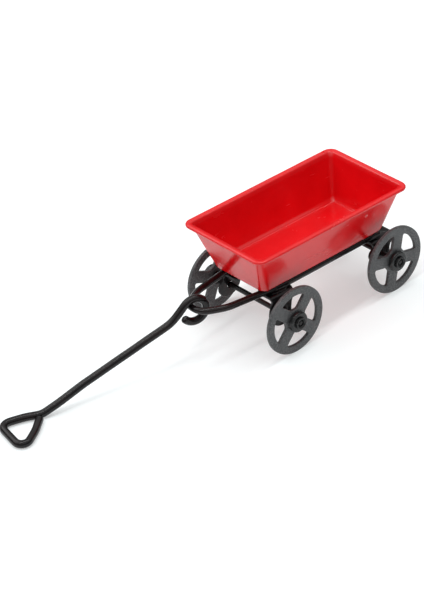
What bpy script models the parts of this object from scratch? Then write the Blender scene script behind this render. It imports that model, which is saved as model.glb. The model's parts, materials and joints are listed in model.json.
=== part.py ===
"""A small metal pull wagon: a pressed tray on a bent-wire chassis, four stamped wheels and a wire handle.

Metres, +Z up. +X points forward, from the tray towards the handle, and +Y is the wagon's left side.
The origin is on the floor, under the middle of the whole wagon with its handle laid down in front.
"""

import math

import bmesh
import bpy
from mathutils import Matrix, Vector

MM = 0.001
SIDES = ((1, "left"), (-1, "right"))

# Wheels
WHEEL_RADIUS = 10.0 * MM
WHEEL_THICKNESS = 1.1 * MM
WHEELBASE = 38.0 * MM
TRACK = 33.0 * MM  # between the outer faces of a pair of wheels
SPOKES = 4
SPOKE_WIDTH = 3.5 * MM
WINDOW_OUTER_RADIUS = 7.8 * MM
WINDOW_INNER_RADIUS = 3.6 * MM
WINDOW_CORNER = 0.6 * MM
FRONT_SPOKE_ANGLES = {"left": math.radians(43.0), "right": math.radians(25.0)}
REAR_SPOKE_ANGLES = {"left": math.radians(15.0), "right": math.radians(15.0)}

# Axles and what holds the wheels on them
AXLE_RADIUS = 0.75 * MM
AXLE_CHAMFER = 0.15 * MM
AXLE_CLEARANCE = 0.25 * MM  # all round, in a wheel, a bracket or a washer
OUTER_WASHER_RADIUS = 3.0 * MM
OUTER_WASHER_THICKNESS = 1.3 * MM
INNER_WASHER_RADIUS = 2.0 * MM
INNER_WASHER_THICKNESS = 0.6 * MM
COLLAR_RADIUS = 1.75 * MM
COLLAR_LENGTH = 0.5 * MM
COLLAR_CHAMFER = 0.15 * MM
AXLE_END_RECESS = 0.35 * MM  # the axle stops this far inside its collar
COLLAR_MOUTH = 1.25 * MM  # radius of the dished mouth of a collar

# Axle brackets: a flat flange under each rail, bent down at its outer edge into an ear
BRACKET_THICKNESS = 0.9 * MM
FLANGE_WIDTH = 8.6 * MM
FLANGE_CORNER = 1.5 * MM
FLANGE_REACH = 4.8 * MM  # inwards from under the middle of the rail
BEND_REACH = 1.7 * MM  # outwards from under the middle of the rail to the outside of the bend
EAR_WIDTH = 7.8 * MM
EAR_END_RADIUS = 3.9 * MM
EAR_SPLAY = math.radians(7.0)
BEND_RADIUS = 0.9 * MM  # inside radius of the bend
FRONT_AXLE_DROP = 7.9 * MM  # from the underside of the tray down to the axle
REAR_AXLE_DROP = 6.1 * MM
FRONT_FLANGE_SETBACK = 1.5 * MM  # how far the middle of the flange is behind its axle
REAR_FLANGE_SETBACK = 2.0 * MM

# Chassis wire: two rails that run forward and close in a loop, the yoke
RAIL_RADIUS = 1.0 * MM
RAIL_HALF_GAUGE = 8.5 * MM
RAIL_TAIL = 1.6 * MM  # the rails end this far behind the rear axle
YOKE_START = 3.0 * MM  # behind the front axle
YOKE_SHOULDER = 15.0 * MM  # ahead of the front axle
YOKE_SHOULDER_HALF_WIDTH = 6.0 * MM
YOKE_REACH = 21.6 * MM
YOKE_TIP_HALF_WIDTH = 2.6 * MM
YOKE_TIP_BEND = 4.0 * MM
YOKE_SHOULDER_BEND = 9.0 * MM
RAIL_BEND = 20.0 * MM

# Tray
TRAY_LENGTH = 56.3 * MM  # over the rim
TRAY_WIDTH = 31.3 * MM
TRAY_HEIGHT = 14.7 * MM
TRAY_FLOOR_LENGTH = 45.0 * MM  # outside, at the bottom
TRAY_FLOOR_WIDTH = 19.8 * MM
TRAY_WALL = 0.6 * MM
TRAY_FLOOR = 1.3 * MM  # thickness of the floor
RIM_SETBACK = 16.8 * MM  # the middle of the rim is this far behind the front axle
FLOOR_SETBACK = 0.5 * MM  # the middle of the floor is this far behind the middle of the rim
RIM_OVERHANG = 1.3 * MM  # beyond the outside of the wall
RIM_HEIGHT = 1.15 * MM
RIM_LIP_DROP = 0.15 * MM  # the rim's inner edge is this far below its top
RIM_CORNER_RADIUS = 2.8 * MM
WALL_CORNER_RADIUS = 2.1 * MM
CORNER_SHARE = 1.2  # the corner's radius shrinks by this share of how far the wall moves in
FLOOR_EDGE_RADIUS = 1.0 * MM  # outside, where wall and floor meet
INNER_EDGE_RADIUS = 0.35 * MM  # the same, inside

# Handle: one wire bent into an eye, a rod and a grip loop
HANDLE_RADIUS = 1.15 * MM
ROD_LENGTH = 49.4 * MM  # from the yoke to the root of the grip
HANDLE_SWING = math.radians(-15.3)  # how far it lies to the side
EYE_RADIUS = 3.6 * MM  # to the middle of the wire
EYE_HANG_ANGLE = math.radians(-116.0)  # where the eye's centre is, seen from the yoke's wire
EYE_END_ANGLE = math.radians(-27.0)
ROD_CRANK = 6.8 * MM  # from the yoke to the bend below the eye
ROD_CRANK_DROP = 0.4 * MM  # the bend is this far below the rod's line
ROD_CRANK_BEND = 5.0 * MM
ROD_WAVES = ((0.42, 0.2 * MM), (0.68, 0.3 * MM), (0.87, -0.1 * MM))  # share of the rod, how far out of true
ROD_WAVE_BEND = 40.0 * MM
GRIP_LENGTH = 11.6 * MM
GRIP_RIGHT = 2.4 * MM  # the loop's right corner, from the line of the rod
GRIP_LEFT = 11.8 * MM
GRIP_LEFT_SETBACK = 0.8 * MM
GRIP_ROOT_BEND = 5.0 * MM
GRIP_RIGHT_BEND = 3.2 * MM
GRIP_LEFT_BEND = 2.4 * MM

# Clearances
SEAT_GAP = 0.25 * MM  # between pieces that rest on each other or are welded
SIDE_GAP = 0.25 * MM  # between a wheel and its washers, along the axle

# Fineness of the round shapes
TURN_STEPS = 48
SMALL_TURN_STEPS = 32
ARC_STEP = math.radians(12.0)
CORNER_STEPS = 6
EAR_END_STEPS = 9
WINDOW_ARC_STEPS = 8
WINDOW_CORNER_STEPS = 3
WIRE_FINENESS = 2
SHARP_ANGLE = math.radians(35.0)  # edges that bend more than this stay crisp

# Finishes: colour, roughness, metallic
GLOSS_RED = ((0.70, 0.012, 0.02), 0.18, 0.0)
GLOSS_BLACK = ((0.012, 0.012, 0.013), 0.22, 0.0)
SATIN_BLACK = ((0.03, 0.03, 0.032), 0.45, 0.0)
SATIN_GREY = ((0.07, 0.07, 0.072), 0.5, 0.0)


# ---------------------------------------------------------------- plain geometry


def arc_between(start, corner, end, radius, step):
    """Points of the round bend that replaces the corner between two straight runs."""
    to_start = (start - corner).normalized()
    to_end = (end - corner).normalized()
    half_angle = to_start.angle(to_end) / 2
    cut = min(radius / math.tan(half_angle), 0.49 * (start - corner).length, 0.49 * (end - corner).length)
    radius = cut * math.tan(half_angle)
    centre = corner + (to_start + to_end).normalized() * radius / math.sin(half_angle)
    first = corner + to_start * cut - centre
    last = corner + to_end * cut - centre
    turn = first.angle(last)
    pieces = max(2, math.ceil(turn / step))
    normal = first.cross(last).normalized()
    return [centre + Matrix.Rotation(turn * k / pieces, 3, normal) @ first for k in range(pieces + 1)]


def rounded_path(corners):
    """Points along a run of straight pieces; corners is a list of (point, bend radius)."""
    points = [corners[0][0]]
    for k in range(1, len(corners) - 1):
        corner, radius = corners[k]
        points += arc_between(points[-1], corner, corners[k + 1][0], radius, ARC_STEP)
    points.append(corners[-1][0])
    return points


def circle_points(radius, steps):
    """Points (x, z) round a circle about the origin."""
    return [
        (radius * math.cos(2 * math.pi * k / steps), radius * math.sin(2 * math.pi * k / steps))
        for k in range(steps)
    ]


def rounded_rectangle(length, width, corner_radius, height):
    """Points round a rectangle with round corners, at one height."""
    points = []
    inset_x = length / 2 - corner_radius
    inset_y = width / 2 - corner_radius
    for quarter, (side_x, side_y) in enumerate(((1, 1), (-1, 1), (-1, -1), (1, -1))):
        for k in range(CORNER_STEPS + 1):
            angle = math.pi / 2 * (quarter + k / CORNER_STEPS)
            points.append(
                Vector(
                    (
                        side_x * inset_x + corner_radius * math.cos(angle),
                        side_y * inset_y + corner_radius * math.sin(angle),
                        height,
                    )
                )
            )
    return points


# ---------------------------------------------------------------- scene helpers


def clear_scene():
    for thing in list(bpy.data.objects):
        bpy.data.objects.remove(thing, do_unlink=True)


def finish_material(name, finish):
    colour, roughness, metallic = finish
    material = bpy.data.materials.new(name)
    material.use_nodes = True
    shader = material.node_tree.nodes["Principled BSDF"]
    shader.inputs["Base Color"].default_value = (*colour, 1.0)
    shader.inputs["Roughness"].default_value = roughness
    shader.inputs["Metallic"].default_value = metallic
    return material


def add_object(name, data, finish, parent=None, location=(0, 0, 0), rotation=(0, 0, 0)):
    thing = bpy.data.objects.new(name, data)
    bpy.context.scene.collection.objects.link(thing)
    thing.location = location
    thing.rotation_euler = rotation
    thing.parent = parent
    data.materials.append(finish_material(name, finish))
    return thing


def mesh_from(name, bm):
    """Turn a bmesh into a mesh with its faces pointing out and its round sides smooth."""
    bmesh.ops.recalc_face_normals(bm, faces=bm.faces[:])
    mesh = bpy.data.meshes.new(name)
    bm.to_mesh(mesh)
    bm.free()
    mesh.shade_smooth()
    mesh.set_sharp_from_angle(angle=SHARP_ANGLE)
    return mesh


def add_empty(name, location, rotation):
    empty = bpy.data.objects.new(name, None)
    bpy.context.scene.collection.objects.link(empty)
    empty.location = location
    empty.rotation_euler = rotation
    return empty


def wire_curve(name, points, radius):
    """A round wire along the points, with flat ends."""
    curve = bpy.data.curves.new(name, "CURVE")
    curve.dimensions = "3D"
    curve.bevel_depth = radius
    curve.bevel_resolution = WIRE_FINENESS
    curve.use_fill_caps = True
    spline = curve.splines.new("POLY")
    spline.points.add(len(points) - 1)
    for slot, point in zip(spline.points, points):
        slot.co = (*point, 1.0)
    spline.use_smooth = True
    return curve


def bridge_rings(bm, rings, closed=False):
    """Join rings of vertices, each as long as the next, with quads."""
    pairs = list(zip(rings, rings[1:]))
    if closed:
        pairs.append((rings[-1], rings[0]))
    for lower, upper in pairs:
        count = len(lower)
        for k in range(count):
            bm.faces.new((lower[k], lower[(k + 1) % count], upper[(k + 1) % count], upper[k]))


def turned_mesh(name, profile, steps):
    """Turn a closed profile of (radius, y) points, which stays off the axis, about the Y axis."""
    bm = bmesh.new()
    rings = [
        [bm.verts.new((x, y, z)) for x, z in circle_points(radius, steps)] for radius, y in profile
    ]
    bridge_rings(bm, rings, closed=True)
    return mesh_from(name, bm)


def rod_mesh(name, radius, y_start, y_end, chamfer, steps):
    """A solid round bar along Y with chamfered ends."""
    bm = bmesh.new()
    profile = (
        (radius - chamfer, y_start),
        (radius, y_start + chamfer),
        (radius, y_end - chamfer),
        (radius - chamfer, y_end),
    )
    rings = [
        [bm.verts.new((x, y, z)) for x, z in circle_points(ring_radius, steps)]
        for ring_radius, y in profile
    ]
    bridge_rings(bm, rings)
    bm.faces.new(rings[0])
    bm.faces.new(rings[-1])
    return mesh_from(name, bm)


def plate_mesh(name, outlines, y_low, y_high):
    """A flat plate in the XZ plane: the first outline is its edge, and the others are holes."""
    bm = bmesh.new()
    edges = []
    for outline in outlines:
        ring = [bm.verts.new((x, y_low, z)) for x, z in outline]
        edges += [bm.edges.new((ring[k], ring[(k + 1) % len(ring)])) for k in range(len(ring))]
    bmesh.ops.triangle_fill(bm, use_beauty=True, use_dissolve=False, edges=edges)
    grown = bmesh.ops.extrude_face_region(bm, geom=bm.faces[:])
    moved = [item for item in grown["geom"] if isinstance(item, bmesh.types.BMVert)]
    bmesh.ops.translate(bm, verts=moved, vec=(0, y_high - y_low, 0))
    return mesh_from(name, bm)


# ---------------------------------------------------------------- where things are

# The tray and the rails lean back, because the rear axle hangs less far below them than the front one.
LEAN = math.asin((FRONT_AXLE_DROP - REAR_AXLE_DROP) / WHEELBASE)
RAIL_CENTRE = -(SEAT_GAP + RAIL_RADIUS)  # below the underside of the tray
FLANGE_TOP = RAIL_CENTRE - RAIL_RADIUS - SEAT_GAP
REAR_AXLE_ALONG = -WHEELBASE * math.cos(LEAN)  # along the rails, from above the front axle
FLANGE_INNER_END = RAIL_HALF_GAUGE - FLANGE_REACH
BEND_OUTSIDE = RAIL_HALF_GAUGE + BEND_REACH
WHEEL_OUTER_FACE = TRACK / 2
WHEEL_INNER_FACE = WHEEL_OUTER_FACE - WHEEL_THICKNESS
WHEEL_BORE = AXLE_RADIUS + AXLE_CLEARANCE
YOKE_BEND_CENTRE = YOKE_REACH - YOKE_TIP_BEND


def rail_frame_point(along, above):
    """From the rails' own frame to (x, z) ahead of the front axle and above the floor."""
    over_axle = FRONT_AXLE_DROP + above
    x = along * math.cos(LEAN) - over_axle * math.sin(LEAN)
    z = WHEEL_RADIUS + along * math.sin(LEAN) + over_axle * math.cos(LEAN)
    return x, z


def handle_points(floor_below):
    """The middle of the handle's wire; x runs along the rod on the floor, and 0 is the yoke's wire."""
    eye_offset = EYE_RADIUS - HANDLE_RADIUS - RAIL_RADIUS - SEAT_GAP
    eye_x = eye_offset * math.cos(EYE_HANG_ANGLE)
    eye_z = eye_offset * math.sin(EYE_HANG_ANGLE)
    root_z = HANDLE_RADIUS - floor_below
    slope = math.asin(root_z / ROD_LENGTH)
    root = Vector((ROD_LENGTH * math.cos(slope), 0, root_z))
    across = Vector((-math.sin(slope), 0, math.cos(slope)))
    crank = root.normalized() * ROD_CRANK - across * ROD_CRANK_DROP
    # The rod leaves the eye along a tangent.
    reach_x, reach_z = crank.x - eye_x, crank.z - eye_z
    reach = math.hypot(reach_x, reach_z)
    tangent = math.atan2(reach_z, reach_x) + math.acos(EYE_RADIUS / reach)
    turn = 2 * math.pi - (tangent - EYE_END_ANGLE)
    pieces = math.ceil(turn / ARC_STEP)
    points = []
    for k in range(pieces + 1):
        angle = EYE_END_ANGLE - turn * k / pieces
        points.append(Vector((eye_x + EYE_RADIUS * math.cos(angle), 0, eye_z + EYE_RADIUS * math.sin(angle))))
    right = root + Vector((GRIP_LENGTH, -GRIP_RIGHT, 0))
    left = root + Vector((GRIP_LENGTH - GRIP_LEFT_SETBACK, GRIP_LEFT, 0))
    # The wire's free end stops just short of the side it comes back to.
    side_angle = (right - root).angle(left - root)
    free = (HANDLE_RADIUS * (1 + math.cos(side_angle)) + SEAT_GAP) / math.sin(side_angle)
    free_end = root + (left - root).normalized() * free
    corners = [(points.pop(), 0.0), (crank, ROD_CRANK_BEND)]
    for share, off in ROD_WAVES:
        corners.append((crank.lerp(root, share) + across * off, ROD_WAVE_BEND))
    corners += [
        (root, GRIP_ROOT_BEND),
        (right, GRIP_RIGHT_BEND),
        (left, GRIP_LEFT_BEND),
        (free_end, 0.0),
    ]
    return points + rounded_path(corners)


YOKE_X, YOKE_Z = rail_frame_point(YOKE_BEND_CENTRE, RAIL_CENTRE)
HINGE_X = YOKE_X + YOKE_TIP_BEND * math.cos(HANDLE_SWING)
HINGE_Y = YOKE_TIP_BEND * math.sin(HANDLE_SWING)
HINGE_Z = YOKE_Z + YOKE_TIP_BEND * math.sin(LEAN)
HANDLE_WIRE = handle_points(HINGE_Z)
HANDLE_TURN = Matrix.Rotation(HANDLE_SWING, 3, "Z")
FRONT_REACH = HINGE_X + max((HANDLE_TURN @ point).x for point in HANDLE_WIRE) + HANDLE_RADIUS
FRONT_AXLE_X = (WHEELBASE + WHEEL_RADIUS - FRONT_REACH) / 2
REAR_AXLE_X = FRONT_AXLE_X - WHEELBASE


# ---------------------------------------------------------------- the tray


def make_tray(lean_frame):
    """A pressed tray: flat floor, sloping walls with round corners, and a rolled rim."""
    wall_top_length = TRAY_LENGTH - 2 * RIM_OVERHANG
    wall_top_width = TRAY_WIDTH - 2 * RIM_OVERHANG
    wall_height = TRAY_HEIGHT - RIM_HEIGHT / 2
    slope_length = (wall_top_length - TRAY_FLOOR_LENGTH) / 2 / wall_height
    slope_width = (wall_top_width - TRAY_FLOOR_WIDTH) / 2 / wall_height

    def wall_ring(height, inset):
        """The wall's section at one height above the underside, moved in by the inset."""
        length = TRAY_FLOOR_LENGTH + 2 * (slope_length * height - inset)
        width = TRAY_FLOOR_WIDTH + 2 * (slope_width * height - inset)
        back = Vector((FLOOR_SETBACK * (height / wall_height - 1), 0, 0))
        corner_radius = WALL_CORNER_RADIUS - inset * CORNER_SHARE
        return [point + back for point in rounded_rectangle(length, width, corner_radius, height)]

    def floor_edge(radius, floor_height, inset):
        """Rings that turn the corner from the floor up into the wall."""
        turned = []
        for k in range(CORNER_STEPS):
            angle = math.pi / 2 * k / CORNER_STEPS
            height = floor_height + radius * (1 - math.cos(angle))
            turned.append(wall_ring(height, inset + radius * (1 - math.sin(angle))))
        return turned

    outside = floor_edge(FLOOR_EDGE_RADIUS, 0.0, 0.0)
    outside.append(wall_ring(TRAY_HEIGHT - RIM_HEIGHT, 0.0))
    rim = []
    rim_half = RIM_HEIGHT / 2
    for k in range(CORNER_STEPS + 1):
        angle = math.pi * (k / CORNER_STEPS - 0.5)
        out = RIM_OVERHANG - rim_half + rim_half * math.cos(angle)
        rim.append(
            rounded_rectangle(
                wall_top_length + 2 * out,
                wall_top_width + 2 * out,
                RIM_CORNER_RADIUS - RIM_OVERHANG + out,
                TRAY_HEIGHT - rim_half + rim_half * math.sin(angle),
            )
        )
    inside = floor_edge(INNER_EDGE_RADIUS, TRAY_FLOOR, TRAY_WALL)
    inside.append(wall_ring(TRAY_HEIGHT - RIM_LIP_DROP, TRAY_WALL))
    sections = outside + rim + inside[::-1]
    bm = bmesh.new()
    rings = [[bm.verts.new(point) for point in section] for section in sections]
    bridge_rings(bm, rings)
    bm.faces.new(rings[0])
    bm.faces.new(rings[-1])
    add_object("tray", mesh_from("tray", bm), GLOSS_RED, lean_frame, (-RIM_SETBACK, 0, 0))


# ---------------------------------------------------------------- the chassis


def make_chassis_wire(lean_frame):
    """Both rails and the yoke, one wire bent in the plane of the rails."""
    half = [
        (Vector((REAR_AXLE_ALONG - RAIL_TAIL, RAIL_HALF_GAUGE, 0)), 0.0),
        (Vector((-YOKE_START, RAIL_HALF_GAUGE, 0)), RAIL_BEND),
        (Vector((YOKE_SHOULDER, YOKE_SHOULDER_HALF_WIDTH, 0)), YOKE_SHOULDER_BEND),
        (Vector((YOKE_REACH, YOKE_TIP_HALF_WIDTH, 0)), YOKE_TIP_BEND),
    ]
    mirrored = [(Vector((point.x, -point.y, 0)), radius) for point, radius in half[::-1]]
    curve = wire_curve("chassis_wire", rounded_path(half + mirrored), RAIL_RADIUS)
    add_object("chassis_wire", curve, GLOSS_BLACK, lean_frame, (0, 0, RAIL_CENTRE))


def bracket_mesh(name, axle_drop, setback, side):
    """A strip bent down into a round-ended ear; x = 0, z = 0 is above the axle, at the tray's underside."""
    thickness = BRACKET_THICKNESS
    bend = BEND_RADIUS + thickness / 2  # to the middle of the strip
    flange_middle = FLANGE_TOP - thickness / 2
    flat_end = BEND_OUTSIDE - thickness / 2 - bend
    turn = math.pi / 2 - EAR_SPLAY
    # The strip's middle line, from the flange's free end outwards and down. Each point is
    # (middle x, y, z, slope, half width).
    line = []
    for k in range(CORNER_STEPS + 1):
        angle = math.pi / 2 * k / CORNER_STEPS
        y = FLANGE_INNER_END + FLANGE_CORNER * (1 - math.cos(angle))
        half_width = FLANGE_WIDTH / 2 - FLANGE_CORNER * (1 - math.sin(angle))
        line.append((-setback, y, flange_middle, 0.0, half_width))
    for k in range(CORNER_STEPS + 1):
        share = k / CORNER_STEPS
        angle = turn * share
        y = flat_end + bend * math.sin(angle)
        z = flange_middle - bend * (1 - math.cos(angle))
        line.append((-setback, y, z, angle, (FLANGE_WIDTH + (EAR_WIDTH - FLANGE_WIDTH) * share) / 2))
    bend_y, bend_z = line[-1][1], line[-1][2]
    ear_length = (bend_z + axle_drop) / math.cos(EAR_SPLAY)
    for k in range(EAR_END_STEPS):
        # Down to the axle the ear is straight; below it, it is a half circle.
        angle = math.pi / 2 * k / EAR_END_STEPS
        along = ear_length + EAR_END_RADIUS * math.sin(angle)
        y = bend_y + along * math.sin(EAR_SPLAY)
        z = bend_z - along * math.cos(EAR_SPLAY)
        line.append((0.0, y, z, turn, EAR_END_RADIUS * math.cos(angle)))
    bm = bmesh.new()
    rings = []
    for x, y, z, angle, half_width in line:
        out_y = math.sin(angle) * thickness / 2
        out_z = math.cos(angle) * thickness / 2
        rings.append(
            [
                bm.verts.new((x + half_width, side * (y + out_y), z + out_z)),
                bm.verts.new((x - half_width, side * (y + out_y), z + out_z)),
                bm.verts.new((x - half_width, side * (y - out_y), z - out_z)),
                bm.verts.new((x + half_width, side * (y - out_y), z - out_z)),
            ]
        )
    bridge_rings(bm, rings)
    bm.faces.new(rings[0])
    bm.faces.new(rings[-1])
    return mesh_from(name, bm)


def make_brackets(end, lean_frame, along, axle_drop, setback):
    """The left and the right bracket of one axle, with the hole that the axle goes through."""
    hole = end + "_axle_hole"
    bar = rod_mesh(hole, WHEEL_BORE, -TRACK / 2, TRACK / 2, AXLE_CHAMFER, SMALL_TURN_STEPS)
    cutter = bpy.data.objects.new(hole, bar)
    bpy.context.scene.collection.objects.link(cutter)
    cutter.parent = lean_frame
    cutter.location = (along, 0, -axle_drop)
    cutter.hide_render = True
    cutter.display_type = "WIRE"
    for side, side_name in SIDES:
        name = end + "_" + side_name + "_bracket"
        mesh = bracket_mesh(name, axle_drop, setback, side)
        bracket = add_object(name, mesh, GLOSS_BLACK, lean_frame, (along, 0, 0))
        cut = bracket.modifiers.new("axle hole", "BOOLEAN")
        cut.operation = "DIFFERENCE"
        cut.object = cutter


# ---------------------------------------------------------------- wheels and axles


def window_outline(start_angle):
    """One opening between two spokes, with rounded corners, as (x, z) points."""
    half = SPOKE_WIDTH / 2
    outer_margin = math.asin(half / WINDOW_OUTER_RADIUS)
    inner_margin = math.asin(half / WINDOW_INNER_RADIUS)
    quarter = 2 * math.pi / SPOKES
    outer_turn = WINDOW_CORNER / WINDOW_OUTER_RADIUS
    inner_turn = WINDOW_CORNER / WINDOW_INNER_RADIUS / 2

    def polar(radius, angle):
        return Vector((radius * math.cos(angle), radius * math.sin(angle)))

    def arc(radius, first, last, steps):
        return [polar(radius, first + (last - first) * k / steps) for k in range(steps + 1)]

    def corner(before, tip, after):
        """A soft corner; the curve starts at one point and ends at the other."""
        points = []
        for k in range(1, WINDOW_CORNER_STEPS):
            t = k / WINDOW_CORNER_STEPS
            points.append(before * (1 - t) ** 2 + tip * 2 * t * (1 - t) + after * t**2)
        return points

    outer_start, outer_end = outer_margin, quarter - outer_margin
    inner_start, inner_end = inner_margin, quarter - inner_margin
    tips = [
        polar(WINDOW_OUTER_RADIUS, outer_end),
        polar(WINDOW_INNER_RADIUS, inner_end),
        polar(WINDOW_INNER_RADIUS, inner_start),
        polar(WINDOW_OUTER_RADIUS, outer_start),
    ]
    far_side = (tips[1] - tips[0]).normalized() * WINDOW_CORNER
    near_side = (tips[2] - tips[3]).normalized() * WINDOW_CORNER
    outer_arc = arc(WINDOW_OUTER_RADIUS, outer_start + outer_turn, outer_end - outer_turn, WINDOW_ARC_STEPS)
    inner_angles = (inner_end - inner_turn, inner_start + inner_turn)
    inner_arc = arc(WINDOW_INNER_RADIUS, *inner_angles, WINDOW_CORNER_STEPS)
    points = list(outer_arc)
    points += corner(outer_arc[-1], tips[0], tips[0] + far_side) + [tips[0] + far_side]
    points += [tips[1] - far_side / 2] + corner(tips[1] - far_side / 2, tips[1], inner_arc[0])
    points += inner_arc
    points += corner(inner_arc[-1], tips[2], tips[2] - near_side / 2) + [tips[2] - near_side / 2]
    points += [tips[3] + near_side] + corner(tips[3] + near_side, tips[3], outer_arc[0])
    turn = Matrix.Rotation(start_angle, 2)
    return [tuple(turn @ point) for point in points]


def make_wheel(name, location, side, spoke_angle):
    """A stamped wheel; its origin is on the axle's line, in the middle of the axle."""
    outlines = [circle_points(WHEEL_RADIUS, TURN_STEPS), circle_points(WHEEL_BORE, SMALL_TURN_STEPS // 2)]
    outlines += [window_outline(spoke_angle + 2 * math.pi * k / SPOKES) for k in range(SPOKES)]
    faces = sorted((side * WHEEL_INNER_FACE, side * WHEEL_OUTER_FACE))
    add_object(name, plate_mesh(name, outlines, *faces), SATIN_GREY, None, location)


def washer_profile(inner_radius, outer_radius, start, end):
    return [(inner_radius, start), (outer_radius, start), (outer_radius, end), (inner_radius, end)]


def collar_profile(start, end):
    """A collar on the end of the axle: chamfered outside, with a dished mouth."""
    bore = AXLE_RADIUS + SEAT_GAP
    return [
        (bore, start),
        (COLLAR_RADIUS, start),
        (COLLAR_RADIUS, end - COLLAR_CHAMFER),
        (COLLAR_RADIUS - COLLAR_CHAMFER, end),
        (COLLAR_MOUTH, end),
        (bore, end - AXLE_END_RECESS),
    ]


def mirrored_profile(profile, side):
    return [(radius, side * y) for radius, y in profile]


def make_axle_set(end, axle_x, spoke_angles):
    """One axle with its two wheels, and the washers and collars that keep them on."""
    centre = (axle_x, 0, WHEEL_RADIUS)
    washer_start = WHEEL_OUTER_FACE + SIDE_GAP
    washer_end = washer_start + OUTER_WASHER_THICKNESS
    collar_start = washer_end + SEAT_GAP
    collar_end = collar_start + COLLAR_LENGTH
    inner_end = WHEEL_INNER_FACE - SIDE_GAP
    axle_end = collar_end - AXLE_END_RECESS
    axle = end + "_axle"
    bar = rod_mesh(axle, AXLE_RADIUS, -axle_end, axle_end, AXLE_CHAMFER, SMALL_TURN_STEPS // 2)
    add_object(axle, bar, GLOSS_BLACK, None, centre)
    rings = {
        "outer_washer": washer_profile(WHEEL_BORE, OUTER_WASHER_RADIUS, washer_start, washer_end),
        "inner_washer": washer_profile(
            WHEEL_BORE, INNER_WASHER_RADIUS, inner_end - INNER_WASHER_THICKNESS, inner_end
        ),
        "axle_collar": collar_profile(collar_start, collar_end),
    }
    for side, side_name in SIDES:
        place = end + "_" + side_name + "_"
        make_wheel(place + "wheel", centre, side, spoke_angles[side_name])
        for ring, profile in rings.items():
            mesh = turned_mesh(place + ring, mirrored_profile(profile, side), SMALL_TURN_STEPS)
            add_object(place + ring, mesh, SATIN_BLACK, None, centre)


# ---------------------------------------------------------------- the handle


def make_handle():
    """The pull handle; its origin is where its eye hangs on the yoke."""
    curve = wire_curve("pull_handle", HANDLE_WIRE, HANDLE_RADIUS)
    hinge = (FRONT_AXLE_X + HINGE_X, HINGE_Y, HINGE_Z)
    add_object("pull_handle", curve, GLOSS_BLACK, None, hinge, (0, 0, HANDLE_SWING))


# ---------------------------------------------------------------- the whole wagon


def build():
    clear_scene()
    foot_x, foot_z = rail_frame_point(0.0, 0.0)
    lean_frame = add_empty("lean_frame", (FRONT_AXLE_X + foot_x, 0, foot_z), (0, -LEAN, 0))
    make_tray(lean_frame)
    make_chassis_wire(lean_frame)
    make_brackets("front", lean_frame, 0.0, FRONT_AXLE_DROP, FRONT_FLANGE_SETBACK)
    make_brackets("rear", lean_frame, REAR_AXLE_ALONG, REAR_AXLE_DROP, REAR_FLANGE_SETBACK)
    make_axle_set("front", FRONT_AXLE_X, FRONT_SPOKE_ANGLES)
    make_axle_set("rear", REAR_AXLE_X, REAR_SPOKE_ANGLES)
    make_handle()


build()
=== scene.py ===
"""Looks for a miniature metal pull wagon: red enamelled tray, black wire chassis and stamped wheels.

Everything is in metres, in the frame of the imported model: +X forward, +Y to the wagon's left, +Z up.
"""

import json
import math

import bmesh
import bpy
from mathutils import Matrix, Vector, noise
from mathutils.geometry import delaunay_2d_cdt


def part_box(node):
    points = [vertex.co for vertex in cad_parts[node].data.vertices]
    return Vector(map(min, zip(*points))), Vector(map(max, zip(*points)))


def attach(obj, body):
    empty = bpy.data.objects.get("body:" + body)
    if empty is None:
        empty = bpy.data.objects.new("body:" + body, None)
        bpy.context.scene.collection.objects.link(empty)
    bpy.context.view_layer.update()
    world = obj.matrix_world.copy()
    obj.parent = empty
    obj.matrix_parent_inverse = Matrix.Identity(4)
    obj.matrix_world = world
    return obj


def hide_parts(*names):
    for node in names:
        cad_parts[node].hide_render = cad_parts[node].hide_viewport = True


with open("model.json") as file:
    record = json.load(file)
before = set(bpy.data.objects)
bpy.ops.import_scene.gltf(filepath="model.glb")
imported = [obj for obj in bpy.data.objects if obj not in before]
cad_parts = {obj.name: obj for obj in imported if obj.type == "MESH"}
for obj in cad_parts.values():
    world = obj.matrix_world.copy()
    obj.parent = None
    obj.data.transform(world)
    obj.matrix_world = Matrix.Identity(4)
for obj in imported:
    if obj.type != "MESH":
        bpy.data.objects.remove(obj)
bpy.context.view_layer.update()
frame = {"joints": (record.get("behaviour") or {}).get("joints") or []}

MM = 0.001


def middle_of(node):
    low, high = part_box(node)
    return (Vector(low) + Vector(high)) / 2


FRONT_AXLE = middle_of("front_axle")
REAR_AXLE = middle_of("rear_axle")

# Wheels
WHEEL_RADIUS = 10.0 * MM
WHEEL_THICKNESS = 1.1 * MM
WHEEL_OUTER_FACE = 16.5 * MM
WHEEL_EDGE = 0.22 * MM  # rounding of the stamped edges
WHEEL_BORE = 1.0 * MM
SPOKES = 4
SPOKE_WIDTH = 3.5 * MM
WINDOW_OUTER_RADIUS = 7.8 * MM
WINDOW_INNER_RADIUS = 3.6 * MM
WINDOW_CORNER = 0.75 * MM
SPOKE_ANGLES = {
    ("front", "left"): math.radians(43.0),
    ("front", "right"): math.radians(25.0),
    ("rear", "left"): math.radians(15.0),
    ("rear", "right"): math.radians(15.0),
}
SIDES = ((1, "left"), (-1, "right"))
WHEEL_STEPS = 128  # points round a wheel
BORE_STEPS = 40  # points round a wheel's hole for its axle
EAR_HOLE_STEPS = 32  # the same in a bracket

# Axles and hubs
AXLE_RADIUS = 0.75 * MM
OUTER_WASHER_RADIUS = 3.0 * MM
OUTER_WASHER_SPAN = (16.75 * MM, 18.05 * MM)
INNER_WASHER_RADIUS = 2.0 * MM
INNER_WASHER_SPAN = (14.55 * MM, 15.15 * MM)
COLLAR_RADIUS = 1.75 * MM
COLLAR_SPAN = (18.3 * MM, 18.8 * MM)
COLLAR_BORE = 1.0 * MM
AXLE_END = 18.45 * MM

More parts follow.
